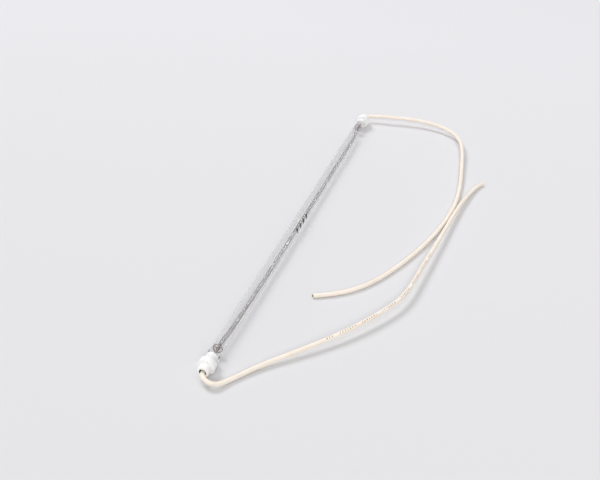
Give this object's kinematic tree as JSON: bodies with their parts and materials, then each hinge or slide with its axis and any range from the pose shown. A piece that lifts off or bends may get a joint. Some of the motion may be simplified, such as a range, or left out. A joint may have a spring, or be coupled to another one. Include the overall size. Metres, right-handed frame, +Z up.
{
  "type": "quartz heating element",
  "caption": "Infrared heating element of a food warmer: a quartz tube with a resistance coil inside, a stepped ceramic cap on each end and an insulated lead out of each cap.",
  "frame": {"origin": "on the surface that the element lies on, under the middle of the tube: the bottom centre of the box of the element without its leads", "axes": "+X along the tube, from the near cap to the far cap; +Z up, away from the surface; the leads lie on the -Y side"},
  "size_m": [0.4687, 0.159, 0.014],
  "materials": {
    "quartz": "clear fused quartz, fire polished",
    "resistance_wire": "nickel-chrome wire, lightly oxidised",
    "ceramic": "white unglazed steatite, smooth",
    "cement": "off-white refractory cement, rough",
    "oxidised_steel": "dark oxidised stainless steel",
    "nickel": "nickel, satin",
    "conductor": "stranded copper, dulled",
    "lead_jacket": "cream heat-resistant jacket, satin"
  },
  "bodies": {
    "root": {"quartz_tube": "quartz", "heating_coil": "resistance_wire", "ceramic_cap_near": "ceramic", "ceramic_cap_far": "ceramic", "cement_sleeve_near": "cement", "cement_sleeve_far": "cement", "potting_plug_near": "cement", "potting_plug_far": "cement", "centring_ring_near": "oxidised_steel", "centring_ring_far": "oxidised_steel", "terminal_pin_near": "nickel", "terminal_pin_far": "nickel", "crimp_barrel_near": "nickel", "crimp_barrel_far": "nickel", "conductor_core_near": "conductor", "conductor_core_far": "conductor", "conductor_tip_near": "conductor", "conductor_tip_far": "conductor", "lead_bend_near": "lead_jacket", "lead_run_near": "lead_jacket", "lead_bend_far": "lead_jacket", "lead_run_far": "lead_jacket"}
  },
  "joints": []
}
